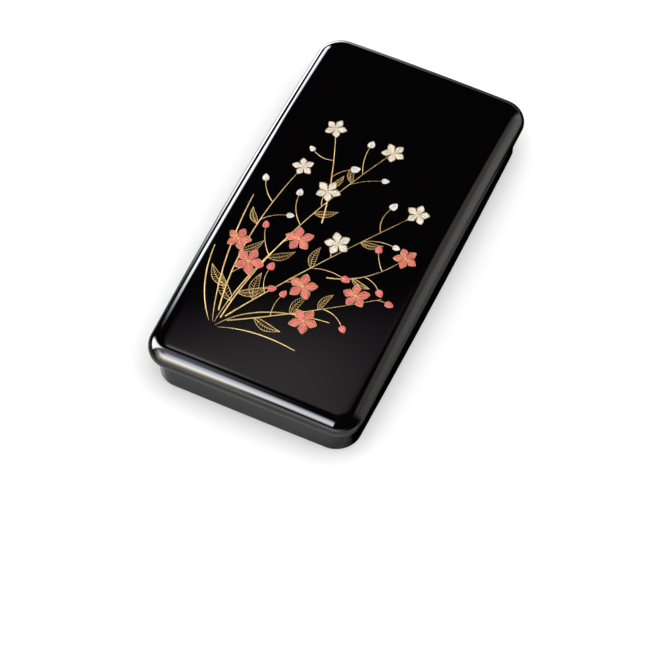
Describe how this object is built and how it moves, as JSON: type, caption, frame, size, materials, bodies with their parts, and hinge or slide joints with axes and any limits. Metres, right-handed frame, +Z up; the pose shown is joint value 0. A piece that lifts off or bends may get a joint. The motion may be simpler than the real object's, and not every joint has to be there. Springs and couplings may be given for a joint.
{
  "type": "japanese suzuri ink box",
  "caption": "Black lacquered writing box with a gently domed lift-off lid, and a lift-out tray holding an inkstone, water dropper, ink stick and brushes.",
  "frame": {"origin": "centre of the box's footprint, on the surface it stands on", "axes": "+X to the right, +Y along the length away from the user, +Z up"},
  "size_m": [0.134, 0.25, 0.038],
  "materials": {
    "black_lacquer": "wood core with polished black lacquer",
    "tray_lacquer": "wood with satin black lacquer",
    "slate": "honed dark slate",
    "bronze": "soft brushed and slightly aged",
    "ink": "dry pressed ink, satin",
    "bamboo": "polished bamboo",
    "horn": "polished dark horn",
    "hair": "fine animal hair, starched to a point"
  },
  "bodies": {
    "box_body": {"box_body": "black_lacquer"},
    "lid": {"lid": "black_lacquer"},
    "tray": {"tray_floor": "tray_lacquer", "tray_rail_left": "tray_lacquer", "tray_rail_right": "tray_lacquer", "tray_rail_front": "tray_lacquer", "tray_rail_back": "tray_lacquer", "tray_divider": "tray_lacquer", "well_board": "tray_lacquer", "brush_rest_front": "tray_lacquer", "brush_rest_back": "tray_lacquer"},
    "inkstone": {"inkstone": "slate"},
    "water_dropper": {"dropper_tank": "bronze", "dropper_top": "bronze", "dropper_spout": "bronze"},
    "ink_stick": {"ink_stick": "ink"},
    "large_brush": {"large_brush_shaft": "bamboo", "large_brush_collar": "horn", "large_brush_hair": "hair", "large_brush_button": "horn"},
    "small_brush": {"small_brush_shaft": "bamboo", "small_brush_collar": "horn", "small_brush_hair": "hair", "small_brush_button": "horn"}
  },
  "joints": [
    {"name": "lid_lift", "type": "slide", "parent": "box_body", "child": "lid", "axis": [0, 0, 1], "range_m": [0, 0.16]},
    {"name": "tray_lift", "type": "slide", "parent": "box_body", "child": "tray", "axis": [0, 0, 1], "range_m": [0, 0.056]},
    {"name": "inkstone_lift", "type": "slide", "parent": "tray", "child": "inkstone", "axis": [0, 0, 1], "range_m": [0, 0.032]},
    {"name": "dropper_lift", "type": "slide", "parent": "tray", "child": "water_dropper", "axis": [0, 0, 1], "range_m": [0, 0.032]},
    {"name": "ink_stick_lift", "type": "slide", "parent": "tray", "child": "ink_stick", "axis": [0, 0, 1], "range_m": [0, 0.048]},
    {"name": "large_brush_lift", "type": "slide", "parent": "tray", "child": "large_brush", "axis": [0, 0, 1], "range_m": [0, 0.048]},
    {"name": "small_brush_lift", "type": "slide", "parent": "tray", "child": "small_brush", "axis": [0, 0, 1], "range_m": [0, 0.032]}
  ],
  "couplings": [
    {"joint": "tray_lift", "follows": "lid_lift", "ratio": 0.35},
    {"joint": "inkstone_lift", "follows": "lid_lift", "ratio": 0.2},
    {"joint": "dropper_lift", "follows": "lid_lift", "ratio": 0.2},
    {"joint": "ink_stick_lift", "follows": "lid_lift", "ratio": 0.3},
    {"joint": "large_brush_lift", "follows": "lid_lift", "ratio": 0.3},
    {"joint": "small_brush_lift", "follows": "lid_lift", "ratio": 0.2}
  ]
}
